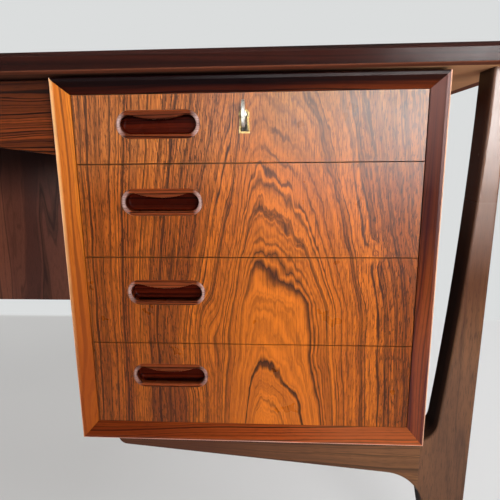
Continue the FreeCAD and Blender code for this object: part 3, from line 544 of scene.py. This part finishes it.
woods = {
    "stile_rosewood": {"grain": "ZXY", "pith": (0.35, -0.12), "lines": 420, "colours": rosewoodGold,
                       "lineDepth": 0.65, "lineEdge": 0.36, "wander": 0.04, "taper": 0.012, "shine": 0.1,
                       "tinted": [("Z", 0.74, 0.34, 0.80, tint(107, 43, 12), "X", 0.6, 0.5),
                                  # painted reflection: the outer stile darker high up, mirroring dark
                                  # surroundings
                                  ("Z", 0.40, 0.53, 0.75, tint(56, 25, 20), "X", 0.5, 0.6),
                                  # painted sheen high on the outer stile
                                  ("Z", 0.57, 0.68, 0.42, tint(190, 164, 102), "X", 0.5, 0.6),
                                  # painted sheen: the outer stile greyer low down
                                  ("Z", 0.46, 0.36, 0.3, tint(102, 85, 64), "X", 0.5, 0.6),
                                  # painted shade along the outer stile's rounded outer edge
                                  ("X", 0.752, 0.757, 0.5, tint(48, 22, 17)),
                                  # painted highlight along the inner stile's edge by the kneehole, high up
                                  ("X", 0.3155, 0.3125, 0.55, tint(226, 182, 124), "Z", 0.30, 0.62)],
                       # darker, redder wood on the outer stile, its blue held up as a painted sheen
                       "shaded": [("X", 0.5, 0.6, 1.0, tint(192, 168, 250))],
                       "arrisHighlight": tint(220, 168, 136)},
    "rail_rosewood": {"grain": "XZY", "pith": (0.45, -0.10), "lines": 300, "lineDepth": 0.9, "lineEdge": 0.38,
                      "colours": (tint(136, 60, 20), tint(98, 40, 14), tint(26, 10, 6)),
                      "wander": 0.05, "taper": 0.02, "shine": 0.08,
                      # painted shade: the top rail's upper band near-black under the top's overhang
                      "tinted": [("Z", 0.690, 0.694, 0.9, tint(20, 8, 8)),
                                 ("X", 0.56, 0.40, 0.6, tint(60, 14, 2), "Z", 0.5, 0.4),
                                 # painted sheen: the bottom rail paler at its outer end
                                 ("X", 0.57, 0.66, 0.14, tint(196, 120, 76), "Z", 0.5, 0.4)],
                      # darker wood on the top rail, eased toward the outer end as a painted sheen
                      "shaded": [("Z", 0.4, 0.5, 1.0, tint(108, 96, 150), "X", 0.95, 0.55)],
                      "arrisHighlight": tint(230, 188, 172)},
    "pull_rosewood": {"grain": "XZY", "pith": (0.2, -0.26), "lines": 330, "lineDepth": 0.85, "lineEdge": 0.40,
                      "colours": (tint(104, 48, 24), tint(73, 31, 16), tint(18, 8, 6)),
                      "rough": (0.24, 0.32), "shine": 0.02,
                      # painted shade: darker deeper in the pull's hollow
                      "shaded": [("Y", 0.3150, 0.309, 1.0, tint(150, 104, 98))],
                      "ends": {"middle": 0.4305, "start": (0.0388, 0.0470), "face": (-0.3150, -0.3156),
                               "rim": (0.0496, 0.0480, 0.25, 1.0), "height": (0.32, 0.62, 0.5, 1.0),
                               "patchy": (0.3, 0.6, 0.3, 0.9), "colour": tint(168, 141, 135)}},
    "apron_rosewood": {"grain": "XZY", "pith": (0.5, -0.22), "lines": 460, "lineDepth": 0.95,
                       "lineEdge": 0.38, "wander": 0.024, "slow": (0.14, 22, 2.5, 0.55),
                       "colours": (tint(101, 44, 15), tint(63, 26, 10), tint(12, 5, 3)),
                       "taper": 0.02, "shine": 0.05,
                       # painted shadow: the apron darker at its top, under the desk top
                       "tinted": [("Z", 0.655, 0.69, 0.55, tint(22, 10, 7))]},
    "lipping_long_rosewood": {**lipping, "grain": "XYZ", "pith": (-0.2, 0.6)},
    "lipping_end_rosewood": {**lipping, "grain": "YXZ", "pith": (0.3, 0.6)},
    "top_rosewood": {"grain": "XYZ", "pith": (0.08, 0.45), "lines": 150, "wander": 0.05, "taper": 0.03,
                     "colours": (tint(150, 78, 38), tint(112, 56, 30), tint(44, 24, 16)),
                     "rough": (0.38, 0.46),
                     # the underside's lighter veneer, laid on only toward the ends where it is lit: partly
                     # painted light
                     "tinted": [("Z", 0.712, 0.7065, 0.75, tint(204, 152, 108), "X", 0.60, 0.74),
                                # painted shadow on the underside between the ends
                                ("Z", 0.712, 0.7065, 0.85, tint(64, 34, 22), "X", 0.74, 0.60)],
                     "matt": [(0.712, 0.7065)]},
    "side_rosewood": {"grain": "ZYX", "pith": (0.1, 1.0), "lines": 150, "wander": 0.05, "taper": 0.03,
                      "colours": (tint(150, 76, 36), tint(108, 52, 28), tint(42, 22, 15))},
    "panel_rosewood": {"grain": "ZXY", "pith": (0.05, 0.6), "lines": 150, "wander": 0.05, "taper": 0.03,
                       "colours": (tint(112, 66, 50), tint(76, 43, 35), tint(32, 18, 15)),
                       # painted shadow: the panel darker at its top, under the apron
                       "tinted": [("Z", 0.50, 0.61, 0.8, tint(28, 19, 21), "X", 0.33, 0.30)]},
    "leg_wood": {"grain": "ZXY", "pith": (0.70, 0.45), "lines": 700, "colours": greyBrown, "lineDepth": 0.5,
                 "lineEdge": 0.34, "poreDepth": 0.85, "rough": (0.22, 0.28), "shine": 0.27, "relief": 0.3,
                 "tinted": [("Z", 0.36, 0.45, 0.75, tint(54, 22, 3)),
                            ("Z", 0.42, 0.33, 0.5, tint(66, 44, 34)),
                            # painted sheen: the leg paler and greyer toward its top
                            ("Z", 0.47, 0.60, 0.3, tint(140, 112, 98))],
                 "matt": [(0.60, 0.46)],
                 "inward": {"colour": tint(9, 6, 5), "facing": (-0.5, -0.9),
                            "front": (-0.319, -0.304, 0.3, 0.94)}},
    "arm_wood": {"grain": "XZY", "pith": (0.0, 0.5), "lines": 760, "colours": greyBrown, "lineDepth": 0.6,
                 "lineEdge": 0.38, "tinted": [("X", 0.70, 0.47, 0.80, tint(54, 25, 15))]},
    "drawer_oak": {"grain": "YZX", "pith": (0.2, 0.1), "lines": 160, "lineDepth": 0.35, "rough": (0.5, 0.62),
                   "colours": (tint(206, 172, 122), tint(188, 150, 102), tint(128, 96, 60))},
    "runner_beech": {"grain": "YZX", "pith": (0.2, 0.1), "lines": 180, "lineDepth": 0.25, "rough": (0.5, 0.6),
                     "colours": (tint(214, 176, 132), tint(198, 158, 114), tint(150, 112, 76))},
}


# metals and the glides

metalFace = {"patchRuffle": (4, 0.6), "patches": (0.36, 0.60), "rougher": 0.14,
             "scratches": (0.05, 2600, 2, 0.6), "relief": (0.12, 0.0001)}
metals = {
    "brass": {"clean": tint(178, 154, 104), "dull": tint(112, 92, 56),
              "rough": 0.46, "metal": 1.0, "patch": 260},
    "steel": {"clean": tint(150, 148, 142), "dull": tint(92, 88, 82),
              "rough": 0.54, "metal": 1.0, "patch": 240},
    "nickel": {"clean": tint(204, 202, 195), "dull": tint(146, 142, 135),
               "rough": 0.62, "metal": 1.0, "patch": 240},
    "glide_plastic": {"clean": tint(58, 52, 46), "dull": tint(40, 36, 32),
                      "rough": 0.5, "metal": 0.0, "patch": 300},
}


def plainMetal(name, metal):
    finish, tree, shader, spot, (x, y, z) = startFinish(name)
    patches = noise(tree, spot, metal["patch"], *metalFace["patchRuffle"])
    stretch, *ruffle = metalFace["scratches"]
    scratches = noise(tree, point(tree, x, times(tree, y, stretch), z), *ruffle)
    colours = list(zip(metalFace["patches"], (metal["dull"], metal["clean"])))
    feed(tree, shader.inputs["Base Color"], ramp(tree, patches, colours))
    rough = spread(tree, patches, *usualNoise, metal["rough"] + metalFace["rougher"], metal["rough"])
    feed(tree, shader.inputs["Roughness"], rough)
    shader.inputs["Metallic"].default_value = metal["metal"]
    giveRelief(tree, shader, scratches, *metalFace["relief"])
    return finish


finishes = {"flame_rosewood": flameVeneer()}
for name, wood in woods.items():
    finishes[name] = grainedWood(name, wood)
for name, metal in metals.items():
    finishes[name] = plainMetal(name, metal)
print("finishes made:", len(finishes))

wears = {
    "top_core": "top_rosewood", "top_lipping_long": "lipping_long_rosewood",
    "top_lipping_ends": "lipping_end_rosewood", "top_spacers": "runner_beech", "apron": "apron_rosewood",
    "modesty_panel": "panel_rosewood", "foot_glides": "glide_plastic", "joint_dowels": "runner_beech",
    "wood_screws": "steel", "drawer_runners": "runner_beech", "escutcheon": "brass", "lock_case": "steel",
    "lock_bolt": "brass", "lock_key": "nickel",
}
beginnings = {"leg_": "leg_wood", "arm_": "arm_wood"}
endings = {
    "_front": "flame_rosewood", "_pull": "pull_rosewood", "_box": "drawer_oak",
    "_frame_stiles": "stile_rosewood", "_frame_rails": "rail_rosewood",
    "_outer_side": "side_rosewood", "_inner_side": "side_rosewood", "_back_panel": "panel_rosewood",
    "_top_board": "rail_rosewood", "_bottom_board": "rail_rosewood",
}


def finishFor(name):
    if name in wears:
        return finishes[wears[name]]
    choices = [finish for begin, finish in beginnings.items() if name.startswith(begin)]
    choices += [finish for end, finish in endings.items() if name.endswith(end)]
    return finishes[choices[0]]


for name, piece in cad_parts.items():
    piece.data.materials.clear()
    piece.data.materials.append(finishFor(name))
print("pieces finished:", len(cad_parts))


# stage, light and camera

stage = {
    "half": 6.0,                # half the floor's width
    "floor": tint(226, 226, 226), "backdrop": tint(219, 221, 221),
    "grit": (9, 3, 0.5), "gritDepth": 0.2, "rough": 0.8, "shine": 0.05,
    "backdropLine": 0.77, "soft": 0.012,        # where the floor passes into the backdrop
    # the floor's glow dims toward the left: painted shade
    "left": tint(202, 201, 199), "right": tint(238, 238, 238), "paintedShadeLeft": (0.9, 0.2),      # floor's own glow
    "lift": 0.6,                # how much of that glow the floor shows
    "mirrored": 0.3,            # and how much of it a polished face mirrors
    "front": 0.08, "back": 0.35,        # light from round about, in front of the desk and behind
    "skyTurn": (-0.35, 0.45), "skyMirrored": (-0.1, 0.3),       # where it turns, and where it is mirrored
}


def shownDirectly(tree, mirrored):
    # one for rays that see the backdrop itself, less for those that mirror it, and nought for its light
    paths = tree.nodes.new("ShaderNodeLightPath").outputs
    seen = calc(tree, "MAXIMUM", paths["Is Camera Ray"], paths["Is Transmission Ray"])
    return calc(tree, "MAXIMUM", seen, times(tree, paths["Is Glossy Ray"], mirrored))


def addFloor():
    shape = bmesh.new()
    bmesh.ops.create_grid(shape, x_segments=1, y_segments=1, size=stage["half"])
    mesh = bpy.data.meshes.new("floor")
    shape.to_mesh(mesh)
    shape.free()
    floor = bpy.data.objects.new("floor", mesh)
    bpy.context.scene.collection.objects.link(floor)
    finish, tree, shader, spot, (x, y, z) = startFinish("pale_floor")
    grit = spread(tree, noise(tree, spot, *stage["grit"]), *usualNoise, 0.0, stage["gritDepth"])
    feed(tree, shader.inputs["Base Color"], blend(tree, grit, stage["floor"], stage["backdrop"]))
    shader.inputs["Roughness"].default_value = stage["rough"]
    shader.inputs["Specular IOR Level"].default_value = stage["shine"]
    beyond = spread(tree, y, stage["backdropLine"] - stage["soft"], stage["backdropLine"] + stage["soft"])
    # painted shade: the floor's glow dims toward the left
    paintedFloorShade = times(tree, spread(tree, x, *stage["paintedShadeLeft"]), calc(tree, "SUBTRACT", 1.0, beyond))
    shown = blend(tree, paintedFloorShade, blend(tree, beyond, stage["right"], stage["backdrop"]), stage["left"])
    glow = addNode(tree, "Emission", {"Color": shown, "Strength": 1.0})
    lifted = spread(tree, beyond, 0.0, 1.0, stage["lift"], 1.0)
    lifted = times(tree, lifted, shownDirectly(tree, stage["mirrored"]))
    both = addNode(tree, "MixShader", {0: lifted, 1: shader.outputs[0], 2: glow.outputs[0]})
    tree.links.new(both.outputs[0], tree.nodes["Material Output"].inputs[0])
    mesh.materials.append(finish)


addFloor()


def lightWorld():
    world = bpy.data.worlds.new("studio")
    bpy.context.scene.world = world
    world.use_nodes = True
    tree = world.node_tree
    sky = tree.nodes["Background"]
    way = addNode(tree, "SeparateXYZ", {0: tree.nodes.new("ShaderNodeTexCoord").outputs["Generated"]}).outputs
    level = spread(tree, way[1], *stage["skyTurn"], stage["front"], stage["back"])
    seen = shownDirectly(tree, spread(tree, way[1], *stage["skyMirrored"]))
    lit = calc(tree, "ADD", times(tree, seen, calc(tree, "SUBTRACT", 1.0, level)), level)
    sky.inputs[0].default_value = stage["backdrop"]
    feed(tree, sky.inputs[1], lit)


lightWorld()

# soft lamps: place, aim and size in metres, power in watts, fan in degrees
lamps = {
    "window": {"at": (1.2, -1.98, 0.86), "aim": (0.6, -0.3, 0.55), "wide": 0.42, "tall": 0.34,
               "power": 2.7, "fan": 75},
    "sash": {"at": (0.72, -1.98, 0.87), "aim": (0.56, -0.3, 0.62), "wide": 0.86, "tall": 0.26,
             "power": 2.3, "fan": 75},
    "sill": {"at": (0.95, -1.98, 0.55), "aim": (0.6, -0.3, 0.58), "wide": 0.8, "tall": 0.24,
             "power": 1.25, "fan": 75},
    "fill": {"at": (-1.1, -3.0, 1.0), "aim": (0.4, -0.3, 0.5), "wide": 1.3, "tall": 0.5, "power": 6},
    "overhead": {"at": (0.2, -0.2, 3.0), "aim": (0.2, -0.2, 0.0), "wide": 2.4, "tall": 1.8, "power": 36},
    "pane": {"at": (1.66, -2.1, 0.80), "aim": (0.8, -0.32, 0.62), "wide": 0.5, "tall": 0.55,
             "power": 6.0, "fan": 75},
    "bounce": {"at": (1.4, -1.68, 0.03), "aim": (1.1, -1.25, 0.9), "wide": 0.7, "tall": 0.3,
               "power": 19, "fan": 90},
    "leftWindow": {"at": (-1.2, -1.98, 0.86), "aim": (-0.75, -0.3, 0.5), "wide": 0.42, "tall": 0.34,
                   "power": 2.4, "fan": 50},
    "rear": {"at": (-0.4, 3.2, 2.0), "aim": (0.0, 0.3, 0.4), "wide": 3.2, "tall": 1.8, "power": 20},
    "leftStrip": {"at": (-2.2, -1.2, 0.7), "aim": (0.4, -0.32, 0.55), "wide": 0.4, "tall": 1.2, "power": 9},
    "rightStrip": {"at": (3.4, -1.3, 1.0), "aim": (0.6, -0.32, 0.55), "wide": 0.6, "tall": 0.9, "power": 15},
}
openFan = 180       # degrees, for a lamp that names no fan


def addLamp(name, lamp):
    light = bpy.data.lights.new(name, "AREA")
    light.shape = "RECTANGLE"
    light.size = lamp["wide"]
    light.size_y = lamp["tall"]
    light.energy = lamp["power"]
    light.spread = math.radians(lamp.get("fan", openFan))
    holder = bpy.data.objects.new(name, light)
    holder.location = lamp["at"]
    holder.visible_camera = False
    holder.rotation_euler = (Vector(lamp["aim"]) - Vector(lamp["at"])).to_track_quat("-Z", "Y").to_euler()
    bpy.context.scene.collection.objects.link(holder)


for name, lamp in lamps.items():
    addLamp(name, lamp)

cameraSet = {"at": (0.5697, -0.8571, 0.6164), "yaw": 3.41, "down": 12.15, "roll": 0.612, "lens": 32.4,
             "sensor": 36, "nearest": 0.02}
lensData = bpy.data.cameras.new("camera")
lensData.lens = cameraSet["lens"]
lensData.sensor_width = cameraSet["sensor"]
lensData.clip_start = cameraSet["nearest"]
camera = bpy.data.objects.new("camera", lensData)
bpy.context.scene.collection.objects.link(camera)
placed = Matrix.Translation(cameraSet["at"])
# yaw, tilt and roll, then the quarter turn that lifts a new camera's gaze from the floor to +Y
for angle, axis in ((cameraSet["yaw"], "Z"), (-cameraSet["down"], "X"), (cameraSet["roll"], "Y"), (90, "X")):
    placed = placed @ Matrix.Rotation(math.radians(angle), 4, axis)
camera.matrix_world = placed
bpy.context.scene.camera = camera
bpy.context.scene.view_settings.view_transform = "Standard"
print("stage, lamps and camera set")
